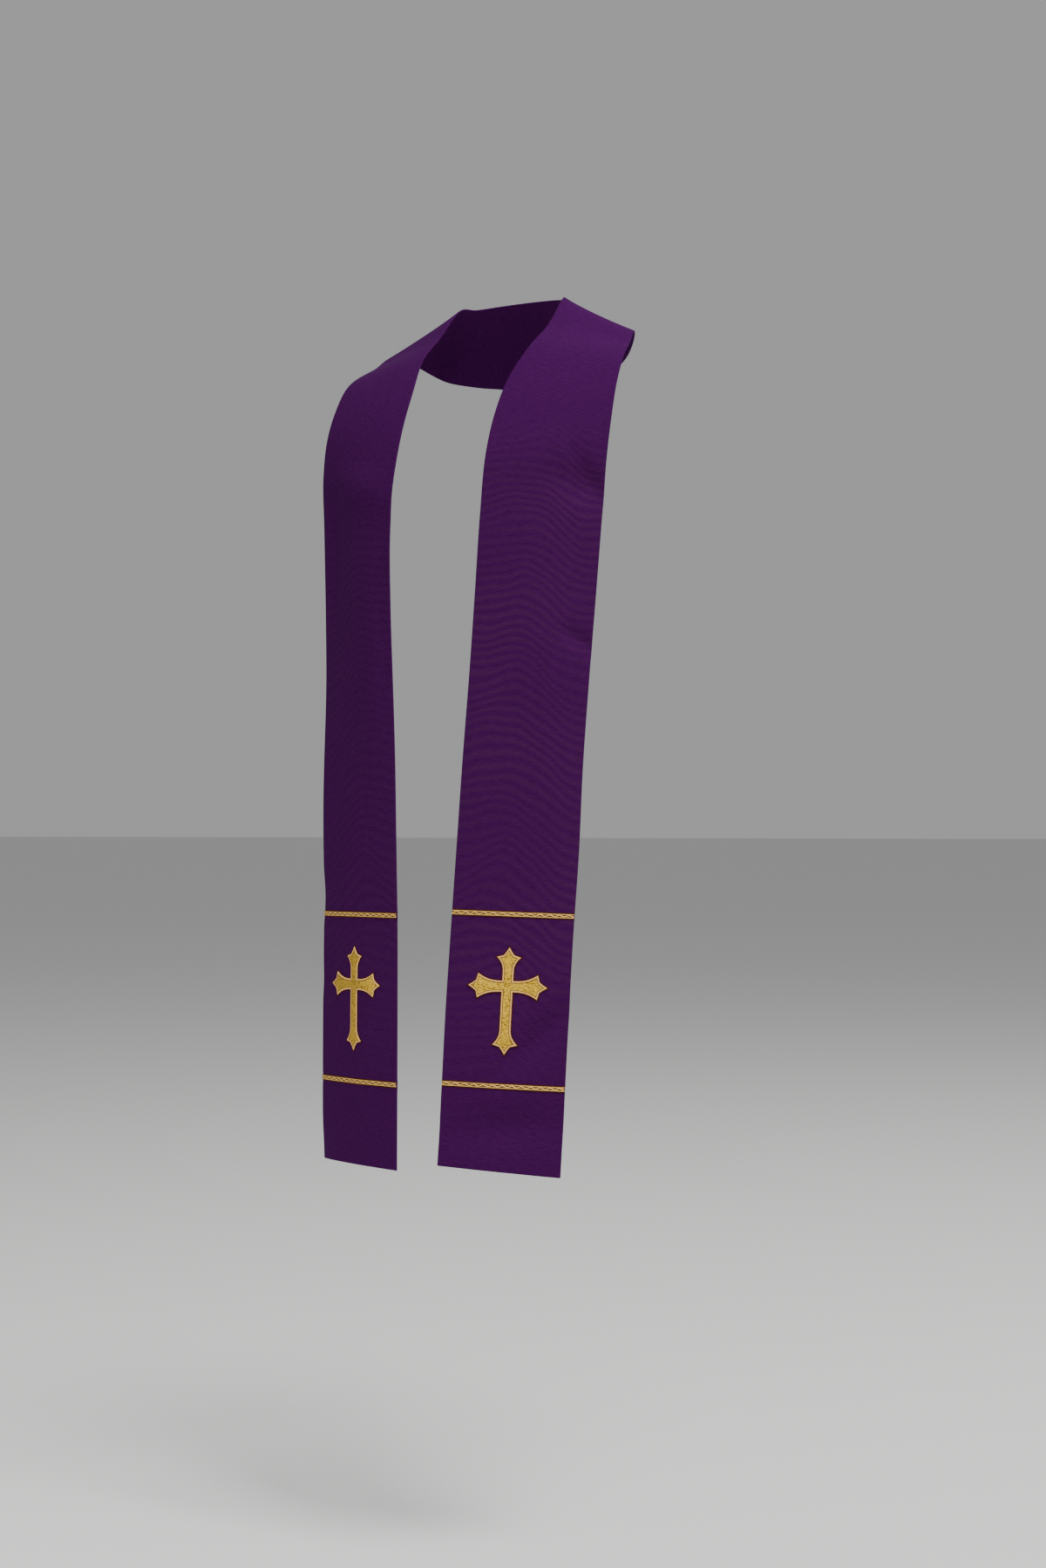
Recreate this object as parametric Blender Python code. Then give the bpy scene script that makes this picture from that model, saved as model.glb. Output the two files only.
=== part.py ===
# A clerical stole as it hangs on a wearer: a yoke round the back of the neck, seamed on each
# shoulder to a long front panel. Each panel carries two narrow gold braids with a gold cross
# between them. Metres, +Z up, the wearer faces -Y. Left and right are the wearer's own, so left
# is +X. The origin is the nape: the underside of the yoke at the middle of its neck edge.

import bisect
import math
from collections import namedtuple

import bmesh
import bpy
from mathutils import Vector

# Cloth
cloth_thickness = 0.002        # face cloth, interlining and backing, turned in at the edges
seam_gap = 0.0003              # left between pieces that are sewn together

# One row for each section across the strip, from the centre of the back, over the shoulder,
# to the hem. The first three columns place the neck-side edge of the strip:
#   height  above the nape           gap    out from the centre plane
#   forward in front of the nape
# and the rest set the section that runs out from it:
#   width   straight across          turn   degrees that its far end swings back
#   fall    degrees below level      bow    how far its middle stands off the straight line
Section = namedtuple("Section", "height gap forward width turn fall bow")
sections = (
    Section(0.000, 0.000, 0.000, 0.118, 90.0, 62.0, 0.000),     # centre of the back
    Section(-0.002, 0.037, 0.006, 0.116, 52.0, 58.0, 0.001),
    Section(-0.007, 0.065, 0.022, 0.111, 26.0, 49.0, 0.001),
    Section(-0.011, 0.076, 0.044, 0.112, 6.0, 27.5, 0.000),     # shoulder seam
    Section(-0.053, 0.080, 0.088, 0.116, 6.0, 15.0, 0.001),
    Section(-0.086, 0.078, 0.130, 0.128, 7.5, 9.0, 0.002),
    Section(-0.130, 0.070, 0.166, 0.141, 11.0, 5.5, 0.003),
    Section(-0.179, 0.067, 0.194, 0.148, 15.0, 3.0, 0.004),
    Section(-0.233, 0.066, 0.213, 0.150, 19.0, 1.5, 0.005),     # chest
    Section(-0.300, 0.065, 0.223, 0.1495, 21.5, 1.0, 0.006),
    Section(-0.400, 0.061, 0.229, 0.148, 21.8, 1.0, 0.008),
    Section(-0.500, 0.056, 0.234, 0.147, 21.2, 1.0, 0.008),
    Section(-0.600, 0.050, 0.239, 0.148, 20.2, 1.0, 0.007),     # waist
    Section(-0.700, 0.045, 0.244, 0.150, 19.3, 1.0, 0.006),
    Section(-0.800, 0.040, 0.249, 0.151, 18.6, 1.0, 0.005),
    Section(-0.900, 0.036, 0.255, 0.152, 18.4, 1.0, 0.005),
    Section(-1.000, 0.033, 0.260, 0.152, 18.4, 1.0, 0.005),
    Section(-1.094, 0.030, 0.265, 0.152, 18.6, 1.0, 0.004),     # hem
)
seam_row = 3
chest_row = 8
waist_row = 12

# How the two panels differ in their hang: how far one sags below the shoulder and closes in
# below the chest, how many degrees more its sections fall, how far its hem slants, and where
# its cross was sewn, as a share of the width from the neck-side edge
Hang = namedtuple("Hang", "mirror sag inward fall hem_slant cross_across")
hangs = {
    "left": Hang(1, sag=0.000, inward=0.000, fall=0.8, hem_slant=0.006, cross_across=0.500),
    "right": Hang(-1, sag=0.006, inward=0.002, fall=-0.7, hem_slant=-0.002, cross_across=0.515),
}

# Soft folds that run down the panels. Top and bottom are heights above the hem, across is a
# share of the panel's width from its neck-side edge, and a hollow has a depth below zero.
Fold = namedtuple("Fold", "side across bottom top depth spread")
folds = (
    Fold("right", 0.64, 0.460, 0.900, -0.0030, 0.024),
    Fold("right", 0.24, 0.380, 0.860, 0.0022, 0.022),
    Fold("right", 0.40, -0.060, 0.380, 0.0014, 0.026),
    Fold("left", 0.30, 0.420, 0.880, -0.0022, 0.026),
    Fold("left", 0.72, 0.330, 0.800, 0.0020, 0.024),
    Fold("left", 0.62, -0.080, 0.350, -0.0012, 0.028),
)

# Trim, as distances up from the hem along the middle of a panel
braid_heights = {"lower": 0.103, "upper": 0.310}
braid_width = 0.0072
braid_thickness = 0.0006
braid_relief = 0.0004          # the zigzag and the two edges stand this far above the ground
braid_zigzags = 12
braid_edge = 0.0009
zigzag_reach = 0.0016          # from the middle of the braid to a turn of the zigzag
zigzag_half_width = 0.0007
braid_inset = 0.0006           # the ends stop just inside the panel's edges

# Cross, flat, about the middle of its crossing
cross_height = 0.223           # of the crossing above the hem
Arm = namedtuple("Arm", "reach flare")
arms = {
    "up": Arm(0.0470, 0.0170),
    "out": Arm(0.0485, 0.0270),
    "down": Arm(0.0820, 0.0180),
    "in": Arm(0.0485, 0.0270),
}
stem_half = 0.0066
point_length = 0.0118          # from the barbs to the tip of an arm
barb_half = 0.0147             # from the middle of an arm to the tip of a barb
notch_half = 0.0064
notch_length = 0.0096
point_middle_half = 0.0031
point_middle_length = 0.0052
border_half = 0.0010           # from the edge of the cross to the crest of its satin border
cross_edge_thickness = 0.0004
cross_crest_thickness = 0.0012
cross_field_thickness = 0.0008
tip_reach_limit = 2.1          # keeps the crest of the border inside a sharp tip

# How finely the pieces are divided
panel_columns = 12
panel_rows = 52
yoke_rows_a_side = 15
flare_steps = (0.40, 0.72)     # points along a flare, as shares of its length
flare_power = 2.3              # how late the flare opens


def strip_direction(section):
    turn = math.radians(section.turn)
    fall = math.radians(section.fall)
    level = math.cos(fall)
    return Vector((level * math.cos(turn), level * math.sin(turn), -math.sin(fall)))


def strip_point(section, across):
    neck_edge = Vector((section.gap, -section.forward, section.height))
    return neck_edge + strip_direction(section) * section.width * across


def section_runs():
    runs = [0.0]
    for above, below in zip(sections, sections[1:]):
        step = strip_point(below, 0.5) - strip_point(above, 0.5)
        runs.append(runs[-1] + step.length)
    return runs


runs = section_runs()
seam_run = runs[seam_row]
chest_run = runs[chest_row]
waist_run = runs[waist_row]
hem_run = runs[-1]


def column_slopes(values, mirrored_first):
    # Slope of a table column at each row; the strip goes on past the centre of the back as
    # its own mirror image.
    stations = [-runs[1]] + runs
    values = [mirrored_first] + list(values)
    steps = [(b - a) / (d - c) for a, b, c, d in
             zip(values, values[1:], stations, stations[1:])]
    gaps = [b - a for a, b in zip(stations, stations[1:])]
    slopes = []
    for before, after, gap_before, gap_after in zip(steps, steps[1:], gaps, gaps[1:]):
        slopes.append((before * gap_after + after * gap_before) / (gap_before + gap_after))
    return slopes + [steps[-1]]


def table_slopes():
    second = sections[1]
    mirrored = second._replace(gap=-second.gap, turn=180.0 - second.turn)
    return [column_slopes(column, first) for column, first in zip(zip(*sections), mirrored)]


slopes = table_slopes()


def section_at(run):
    row = min(max(bisect.bisect(runs, run) - 1, 0), len(runs) - 2)
    length = runs[row + 1] - runs[row]
    t = (run - runs[row]) / length
    values = []
    for start, end, slope in zip(sections[row], sections[row + 1], slopes):
        values.append(
            start * (2 * t**3 - 3 * t**2 + 1)
            + end * (3 * t**2 - 2 * t**3)
            + slope[row] * length * (t**3 - 2 * t**2 + t)
            + slope[row + 1] * length * (t**3 - t**2)
        )
    return Section(*values)


def smooth_step(value):
    value = min(max(value, 0.0), 1.0)
    return value * value * (3 - 2 * value)


def fold_height(side, run, across, width):
    height_above_hem = hem_run - run
    total = 0.0
    for fold in folds:
        along = (height_above_hem - fold.bottom) / (fold.top - fold.bottom)
        if fold.side == side and 0.0 < along < 1.0:
            aside = (across - fold.across) * width / fold.spread
            total += fold.depth * math.sin(math.pi * along) ** 2 * math.exp(-aside * aside)
    return total


def inside_point(side, run, across):
    # A point on the face of the cloth that lies against the wearer.
    hang = hangs[side]
    to_chest = smooth_step((run - seam_run) / (chest_run - seam_run))
    to_waist = smooth_step((run - chest_run) / (waist_run - chest_run))
    section = section_at(run)
    section = section._replace(
        height=section.height - hang.sag * to_chest,
        gap=section.gap - hang.inward * to_waist,
        fall=section.fall + hang.fall * to_chest,
    )
    step = 0.001
    ahead = strip_point(section_at(run + step), 0.5)
    behind = strip_point(section_at(run - step), 0.5)
    out = (ahead - behind).cross(strip_direction(section)).normalized()
    rise = section.bow * 4 * across * (1 - across)
    rise += fold_height(side, run, across, section.width)
    return strip_point(section, across) + out * rise


def cloth_point(side, run, across, lift):
    # The same point moved out by lift, square to the cloth.
    step_along = 0.001
    step_across = 0.01
    along = inside_point(side, run + step_along, across)
    along -= inside_point(side, run - step_along, across)
    aside = inside_point(side, run, across + step_across)
    aside -= inside_point(side, run, across - step_across)
    point = inside_point(side, run, across) + along.cross(aside).normalized() * lift
    point.x *= hangs[side].mirror
    return point


def panel_run(side, run, across):
    # Below the lower braid the rows lean over to meet the slanted hem.
    free_end = braid_heights["lower"] - braid_width
    lean = smooth_step((run - hem_run + free_end) / free_end)
    return run + hangs[side].hem_slant * (across - 0.5) * lean


def principled(name, red, green, blue, roughness, metallic):
    material = bpy.data.materials.new(name)
    material.use_nodes = True
    shader = material.node_tree.nodes["Principled BSDF"]
    shader.inputs["Base Color"].default_value = (red, green, blue, 1.0)
    shader.inputs["Roughness"].default_value = roughness
    shader.inputs["Metallic"].default_value = metallic
    return material


def add_part(name, bm, material):
    bmesh.ops.remove_doubles(bm, verts=bm.verts, dist=1e-7)
    bmesh.ops.recalc_face_normals(bm, faces=bm.faces)
    mesh = bpy.data.meshes.new(name)
    bm.to_mesh(mesh)
    bm.free()
    mesh.shade_smooth()
    mesh.set_sharp_from_angle(angle=math.radians(40))
    mesh.materials.append(material)
    part = bpy.data.objects.new(name, mesh)
    bpy.context.scene.collection.objects.link(part)
    return part


def add_face(bm, corners):
    different = []
    for corner in corners:
        if corner not in different:
            different.append(corner)
    bm.faces.new(different)


def add_grid(bm, rows):
    for upper, lower in zip(rows, rows[1:]):
        for column in range(len(upper) - 1):
            add_face(bm, (upper[column], upper[column + 1], lower[column + 1], lower[column]))


def add_wall(name, outer, inner, material):
    # A closed wall from two grids of points. The inner grid may leave out the outer grid's
    # middle rows, because the wall's two sides are closed with one face for each end.
    bm = bmesh.new()
    outer = [[bm.verts.new(point) for point in row] for row in outer]
    inner = [[bm.verts.new(point) for point in row] for row in inner]
    add_grid(bm, outer)
    add_grid(bm, inner)
    add_grid(bm, (outer[0], inner[0]))
    add_grid(bm, (outer[-1], inner[-1]))
    for end in (0, -1):
        outer_side = [row[end] for row in outer]
        inner_side = [row[end] for row in inner]
        if len(outer_side) == len(inner_side):
            add_grid(bm, (outer_side, inner_side))
        else:
            add_face(bm, outer_side + inner_side[::-1])
    return add_part(name, bm, material)


def evenly(start, end, steps):
    return [start + (end - start) * step / steps for step in range(steps + 1)]


def panel_grid(side, row_runs, lift):
    columns = evenly(0.0, 1.0, panel_columns)
    return [[cloth_point(side, panel_run(side, run, across), across, lift)
             for across in columns] for run in row_runs]


def make_front(side, material):
    row_runs = evenly(seam_run + seam_gap / 2, hem_run, panel_rows)
    outer = panel_grid(side, row_runs, cloth_thickness)
    inner = panel_grid(side, row_runs, 0.0)
    return add_wall(f"front_{side}", outer, inner, material)


def make_yoke(material):
    half = evenly(0.0, seam_run - seam_gap / 2, yoke_rows_a_side)
    layers = []
    for lift in (cloth_thickness, 0.0):
        right = panel_grid("right", half[:0:-1], lift)
        layers.append(right + panel_grid("left", half, lift))
    return add_wall("back_yoke", layers[0], layers[1], material)


def braid_rows(turn):
    # Distances below the braid's middle, with the thickness there, at one turn of the zigzag.
    crest = zigzag_reach * turn
    edge = braid_width / 2
    raised = braid_thickness + braid_relief
    return (
        (-edge, raised),
        (-edge + braid_edge, braid_thickness),
        (crest - zigzag_half_width, braid_thickness),
        (crest, raised),
        (crest + zigzag_half_width, braid_thickness),
        (edge - braid_edge, braid_thickness),
        (edge, raised),
    )


def make_braid(side, place, material):
    middle = hem_run - braid_heights[place]
    inset = braid_inset / section_at(middle).width
    columns = evenly(inset, 1.0 - inset, 2 * braid_zigzags)
    base = cloth_thickness + seam_gap
    outer = [[] for _ in braid_rows(1)]
    inner = [[], []]
    for number, across in enumerate(columns):
        rows = braid_rows(1 if number % 2 else -1)
        for line, (below, thickness) in zip(outer, rows):
            line.append(cloth_point(side, middle + below, across, base + thickness))
        inner[0].append(cloth_point(side, middle + rows[0][0], across, base))
        inner[1].append(cloth_point(side, middle + rows[-1][0], across, base))
    return add_wall(f"braid_{place}_{side}", outer, inner, material)


def half_arm(arm):
    # Distance along the arm and half width there, from its root to just before its tip.
    barb = arm.reach - point_length
    root = barb - arm.flare
    rows = [(root, stem_half)]
    for share in flare_steps:
        half = stem_half + (barb_half - stem_half) * share**flare_power
        rows.append((root + arm.flare * share, half))
    rows.append((barb, barb_half))
    rows.append((arm.reach - notch_length, notch_half))
    rows.append((arm.reach - point_middle_length, point_middle_half))
    return rows


def cross_outline():
    # The outline goes round once. Each corner has a point on the arm's middle line beside it.
    corners = []
    for name, along, aside in (("up", (0, -1), (1, 0)), ("out", (1, 0), (0, 1)),
                               ("down", (0, 1), (-1, 0)), ("in", (-1, 0), (0, -1))):
        along = Vector(along)
        aside = Vector(aside)
        rows = half_arm(arms[name])
        spine_end = along * rows[-1][0]
        for distance, half in rows:
            corners.append((along * distance - aside * half, along * distance))
        corners.append((along * arms[name].reach, spine_end))
        for distance, half in reversed(rows):
            corners.append((along * distance + aside * half, along * distance))
        corners.append(((along + aside) * stem_half, Vector((0.0, 0.0))))
    return corners


def drawn_in(points, distance):
    # The closed outline moved inwards by distance, measured square to its sides.
    result = []
    for before, point, after in zip([points[-1]] + points, points, points[1:] + points[:1]):
        first = (point - before).normalized()
        second = (after - point).normalized()
        normals = Vector((-first.y, first.x)), Vector((-second.y, second.x))
        total = normals[0] + normals[1]
        reach = min(2.0 / total.length, tip_reach_limit)
        result.append(point + total.normalized() * distance * reach)
    return result


def make_cross(side, material):
    middle = hem_run - cross_height
    width = section_at(middle).width
    base = cloth_thickness + seam_gap

    def place(flat, thickness):
        across = hangs[side].cross_across + flat.x / width
        return cloth_point(side, middle + flat.y, across, base + thickness)

    corners = cross_outline()
    edge = [corner for corner, spine in corners]
    spines = [spine for corner, spine in corners]
    bm = bmesh.new()
    loops = []
    for points, thickness in (
        (spines, 0.0),
        (edge, 0.0),
        (edge, cross_edge_thickness),
        (drawn_in(edge, border_half), cross_crest_thickness),
        (drawn_in(edge, 2 * border_half), cross_field_thickness),
        (spines, cross_field_thickness),
    ):
        made = {}
        loop = []
        for point in points:
            key = (round(point.x, 7), round(point.y, 7))
            if key not in made:
                made[key] = bm.verts.new(place(point, thickness))
            loop.append(made[key])
        loops.append(loop + loop[:1])
    add_grid(bm, loops)
    return add_part(f"cross_{side}", bm, material)


def main():
    for old in list(bpy.data.objects):
        bpy.data.objects.remove(old)
    purple = principled("purple_cloth", 0.055, 0.012, 0.115, 0.78, 0.0)
    braid_gold = principled("gold_braid", 0.62, 0.40, 0.12, 0.45, 0.3)
    thread_gold = principled("gold_embroidery", 0.55, 0.33, 0.06, 0.40, 0.3)
    make_yoke(purple)
    for side in hangs:
        make_front(side, purple)
        for place in braid_heights:
            make_braid(side, place, braid_gold)
        make_cross(side, thread_gold)


main()
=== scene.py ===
# A violet clerical stole as it hangs on a wearer: a yoke round the back of the neck, seamed on
# each shoulder to a long front panel with two woven gold braids and an embroidered gold cross.
# Metres, +Z up, the wearer faces -Y. Left and right are the wearer's own, so left is +X. The
# origin is the nape: the underside of the yoke at the middle of its neck edge.

import bisect
import math
from collections import namedtuple
from functools import lru_cache

import bmesh
import bpy
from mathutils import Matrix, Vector, noise


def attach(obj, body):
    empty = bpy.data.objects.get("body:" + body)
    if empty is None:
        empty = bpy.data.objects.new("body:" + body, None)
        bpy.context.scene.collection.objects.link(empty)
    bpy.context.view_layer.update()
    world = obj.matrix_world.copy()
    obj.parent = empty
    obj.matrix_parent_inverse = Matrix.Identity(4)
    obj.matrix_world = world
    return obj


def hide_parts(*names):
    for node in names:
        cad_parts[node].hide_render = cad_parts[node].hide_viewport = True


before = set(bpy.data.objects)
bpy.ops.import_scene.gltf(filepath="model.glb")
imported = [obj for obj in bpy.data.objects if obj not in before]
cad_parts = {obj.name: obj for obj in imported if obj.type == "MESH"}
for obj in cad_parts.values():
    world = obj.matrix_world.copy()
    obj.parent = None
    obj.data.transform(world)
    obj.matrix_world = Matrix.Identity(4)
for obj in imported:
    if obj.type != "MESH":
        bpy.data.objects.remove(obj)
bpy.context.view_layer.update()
bpy.ops.object.select_all(action="DESELECT")
print("frame loaded:", ", ".join(sorted(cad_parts)))

# How the strip lies. One row for each section across it, from the centre of the back, over the
# shoulder, to the hem. The first three columns place the neck-side edge: height above the nape,
# gap out from the centre plane, and how far forward. The rest set the section that runs out
# from it: width straight across, turn and fall in degrees, and how far its middle bows out.
Section = namedtuple("Section", "height gap forward width turn fall bow")
strip = {
    "sections": (
        Section(0.000, 0.000, 0.000, 0.118, 90.0, 62.0, 0.000),    # centre of the back
        Section(-0.002, 0.037, 0.006, 0.116, 52.0, 58.0, 0.001),
        Section(-0.007, 0.065, 0.022, 0.111, 26.0, 49.0, 0.001),
        Section(-0.011, 0.076, 0.044, 0.112, 6.0, 27.5, 0.000),    # shoulder seam
        Section(-0.053, 0.080, 0.088, 0.116, 6.0, 15.0, 0.001),
        Section(-0.086, 0.078, 0.130, 0.128, 7.5, 9.0, 0.002),
        Section(-0.130, 0.070, 0.166, 0.141, 11.0, 5.5, 0.003),
        Section(-0.179, 0.067, 0.194, 0.148, 15.0, 3.0, 0.004),
        Section(-0.233, 0.066, 0.213, 0.150, 19.0, 1.5, 0.005),    # chest
        Section(-0.300, 0.065, 0.223, 0.1495, 21.5, 1.0, 0.006),
        Section(-0.400, 0.061, 0.229, 0.148, 21.8, 1.0, 0.008),
        Section(-0.500, 0.056, 0.234, 0.147, 21.2, 1.0, 0.008),
        Section(-0.600, 0.050, 0.239, 0.148, 20.2, 1.0, 0.007),    # waist
        Section(-0.700, 0.045, 0.244, 0.150, 19.3, 1.0, 0.006),
        Section(-0.800, 0.040, 0.249, 0.151, 18.6, 1.0, 0.005),
        Section(-0.900, 0.036, 0.255, 0.152, 18.4, 1.0, 0.005),
        Section(-1.000, 0.033, 0.260, 0.152, 18.4, 1.0, 0.005),
        Section(-1.094, 0.030, 0.265, 0.152, 18.6, 1.0, 0.004),    # hem
    ),
    "seamRow": 3,
    "chestRow": 8,
    "waistRow": 12,
    "thickness": 0.002,    # face, interlining and backing, turned in at the edges
    "trimGap": 0.0003,     # between the cloth and what is sewn on it
    "stepAlong": 0.001,    # how far to each side its slope is read, down the strip
    "stepAcross": 0.01,    # and across it, as a share of the width
}

# How each panel hangs: its sag below the shoulder, how far it closes in below the chest, how
# many degrees more its sections fall, how far its hem slants, and where its cross is sewn.
Hang = namedtuple("Hang", "mirror sag inward fall hemSlant crossAcross")
hangs = {
    "left": Hang(1, sag=0.000, inward=0.000, fall=0.8, hemSlant=0.006, crossAcross=0.500),
    "right": Hang(-1, sag=0.006, inward=0.002, fall=-0.7, hemSlant=-0.002, crossAcross=0.515),
}


def stripDirection(section):
    turn = math.radians(section.turn)
    fall = math.radians(section.fall)
    level = math.cos(fall)
    return Vector((level * math.cos(turn), level * math.sin(turn), -math.sin(fall)))


def stripPoint(section, across):
    neckEdge = Vector((section.gap, -section.forward, section.height))
    return neckEdge + stripDirection(section) * section.width * across


def sectionRuns():
    runs = [0.0]
    for above, below in zip(strip["sections"], strip["sections"][1:]):
        runs.append(runs[-1] + (stripPoint(below, 0.5) - stripPoint(above, 0.5)).length)
    return runs


runs = sectionRuns()    # distance of each row from the centre of the back, along the middle
seamRun = runs[strip["seamRow"]]
chestRun = runs[strip["chestRow"]]
waistRun = runs[strip["waistRow"]]
hemRun = runs[-1]


def columnSlopes(values, mirroredFirst):
    # Slope of one column at each row. The strip goes on past the centre of the back.
    stations = [-runs[1]] + runs
    values = [mirroredFirst] + list(values)
    gaps = [after - before for before, after in zip(stations, stations[1:])]
    steps = [(after - before) / gap for before, after, gap in zip(values, values[1:], gaps)]
    slopes = [(before * gapAfter + after * gapBefore) / (gapBefore + gapAfter)
              for before, after, gapBefore, gapAfter in zip(steps, steps[1:], gaps, gaps[1:])]
    return slopes + [steps[-1]]


second = strip["sections"][1]
mirroredSecond = second._replace(gap=-second.gap, turn=180.0 - second.turn)
slopes = [columnSlopes(column, first)
          for column, first in zip(zip(*strip["sections"]), mirroredSecond)]


@lru_cache(maxsize=None)
def sectionAt(run):
    row = min(max(bisect.bisect(runs, run) - 1, 0), len(runs) - 2)
    length = runs[row + 1] - runs[row]
    t = (run - runs[row]) / length
    values = []
    for start, end, slope in zip(strip["sections"][row], strip["sections"][row + 1], slopes):
        values.append(
            start * (2 * t**3 - 3 * t**2 + 1)
            + end * (3 * t**2 - 2 * t**3)
            + slope[row] * length * (t**3 - 2 * t**2 + t)
            + slope[row + 1] * length * (t**3 - t**2)
        )
    return Section(*values)


def smoothStep(value):
    value = min(max(value, 0.0), 1.0)
    return value * value * (3 - 2 * value)


@lru_cache(maxsize=None)
def hungSection(side, run):
    # The section as it hangs on this side, its direction, and the way out of the cloth.
    hang = hangs[side]
    toChest = smoothStep((run - seamRun) / (chestRun - seamRun))
    toWaist = smoothStep((run - chestRun) / (waistRun - chestRun))
    section = sectionAt(run)
    section = section._replace(
        height=section.height - hang.sag * toChest,
        gap=section.gap - hang.inward * toWaist,
        fall=section.fall + hang.fall * toChest,
    )
    direction = stripDirection(section)
    ahead = stripPoint(sectionAt(run + strip["stepAlong"]), 0.5)
    behind = stripPoint(sectionAt(run - strip["stepAlong"]), 0.5)
    return section, direction, (ahead - behind).cross(direction).normalized()


# Soft troughs and ridges, each along a line from one place on the strip to another. Runs are
# distances from the centre of the back, across is a share of the width from the neck-side edge,
# and a trough has a depth below zero. The rows marked long are in the solids too.
Crease = namedtuple("Crease", "run across toRun toAcross depth spread")
creases = {
    "right": (
        Crease(0.372, 0.64, 0.812, 0.64, -0.0014, 0.024),    # long, deeper in the solid
        Crease(0.350, 0.80, 0.690, 0.80, -0.0046, 0.017),
        Crease(0.412, 0.24, 0.892, 0.24, 0.0022, 0.022),     # long
        Crease(0.892, 0.40, 1.332, 0.40, 0.0014, 0.026),     # long
        Crease(0.020, 0.30, 0.034, 1.70, -0.0014, 0.010),    # ripples round the neck
        Crease(0.052, 0.45, 0.060, 1.60, 0.0012, 0.009),
        Crease(0.094, 0.25, 0.112, 1.65, -0.0015, 0.011),
        Crease(0.150, 0.80, 0.330, 0.45, -0.0010, 0.011),    # drag off the shoulder
        Crease(0.190, 0.12, 0.370, 0.30, 0.0008, 0.010),
        Crease(0.390, -0.03, 0.720, -0.04, 0.0020, 0.012),   # edges that turn out a little
        Crease(0.640, 1.05, 0.960, 1.05, 0.0042, 0.022),
        Crease(0.455, -0.22, 0.392, 1.20, 0.0040, 0.026),    # where it leaves the chest
        Crease(0.895, 1.04, 0.985, 1.04, -0.0026, 0.014),
        Crease(1.205, 1.04, 1.345, 1.04, -0.0030, 0.018),
        Crease(0.985, 0.72, 1.075, 1.04, -0.0022, 0.013),
        Crease(1.180, 0.30, 1.215, 0.92, -0.0018, 0.012),
    ),
    "left": (
        Crease(0.392, 0.30, 0.852, 0.30, -0.0022, 0.026),    # long
        Crease(0.472, 0.72, 0.942, 0.72, 0.0020, 0.024),     # long
        Crease(0.922, 0.62, 1.352, 0.62, -0.0012, 0.028),    # long
        Crease(0.024, 0.38, 0.030, 1.55, 0.0013, 0.009),
        Crease(0.062, 0.28, 0.076, 1.70, -0.0015, 0.011),
        Crease(0.110, 0.42, 0.126, 1.60, 0.0011, 0.010),
        Crease(0.160, 0.92, 0.330, 0.60, -0.0010, 0.011),
        Crease(0.180, 0.30, 0.350, 0.12, 0.0008, 0.011),
        Crease(0.360, 0.62, 0.680, 0.66, -0.0036, 0.040),    # where it lies nearly flat
        Crease(0.405, -0.30, 0.388, 1.30, 0.0022, 0.026),    # where it leaves the chest
        Crease(0.412, 0.45, 0.472, 1.16, -0.0052, 0.022),
        Crease(0.368, 0.60, 0.482, 1.08, -0.0022, 0.011),
        Crease(0.606, 0.66, 0.652, 1.12, -0.0040, 0.011),
        Crease(0.520, 0.08, 0.760, 0.16, -0.0008, 0.013),
        Crease(0.780, 1.03, 1.000, 1.03, -0.0034, 0.017),
        Crease(1.168, 0.44, 1.045, 1.14, -0.0056, 0.017),
        Crease(1.238, -0.22, 1.202, 1.26, -0.0058, 0.025),
    ),
}


def creaseHeight(side, run, across, width):
    total = 0.0
    for crease in creases[side]:
        down = crease.toRun - crease.run
        aside = (crease.toAcross - crease.across) * width
        fromStart = run - crease.run
        fromLine = (across - crease.across) * width
        along = (fromStart * down + fromLine * aside) / (down * down + aside * aside)
        if 0.0 < along < 1.0:
            away = (fromStart * aside - fromLine * down) / math.hypot(down, aside)
            total += (crease.depth * math.sin(math.pi * along) ** 2
                      * math.exp(-(away / crease.spread) ** 2))
    return total


def insidePoint(side, run, across):
    # A point on the face of the cloth that lies against the wearer.
    section, direction, out = hungSection(side, run)
    neckEdge = Vector((section.gap, -section.forward, section.height))
    rise = section.bow * 4 * across * (1 - across)
    rise += creaseHeight(side, run, across, section.width)
    rise += sewnPull(side, run, across, section.width)
    return neckEdge + direction * section.width * across + out * rise


def clothPoint(side, run, across, lift):
    # The same point moved out by lift, square to the cloth.
    along = insidePoint(side, run + strip["stepAlong"], across)
    along -= insidePoint(side, run - strip["stepAlong"], across)
    aside = insidePoint(side, run, across + strip["stepAcross"])
    aside -= insidePoint(side, run, across - strip["stepAcross"])
    point = insidePoint(side, run, across) + along.cross(aside).normalized() * lift
    point.x *= hangs[side].mirror
    return point


# Materials

def colour(code):
    # An sRGB hex value as a linear colour.
    shares = [int(code[place:place + 2], 16) / 255 for place in (1, 3, 5)]
    linear = [share / 12.92 if share <= 0.04045 else ((share + 0.055) / 1.055) ** 2.4
              for share in shares]
    return (*linear, 1.0)


def addNode(material, kind, inputs=None, **settings):
    # Adds a node. Each input is a value, or the socket that feeds it.
    nodeTree = material.node_tree
    node = nodeTree.nodes.new("ShaderNode" + kind)
    for name, value in settings.items():
        setattr(node, name, value)
    for key, value in (inputs or {}).items():
        if isinstance(value, bpy.types.NodeSocket):
            nodeTree.links.new(value, node.inputs[key])
        else:
            node.inputs[key].default_value = value
    return node


def newMaterial(name, settings):
    material = bpy.data.materials.new(name)
    material.use_nodes = True
    shader = material.node_tree.nodes["Principled BSDF"]
    for key, value in settings.items():
        shader.inputs[key].default_value = value
    return material, shader


def bandScale(pitch):
    # The Wave texture's scale for bands that lie pitch metres apart.
    return math.pi / (10 * pitch)


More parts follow.
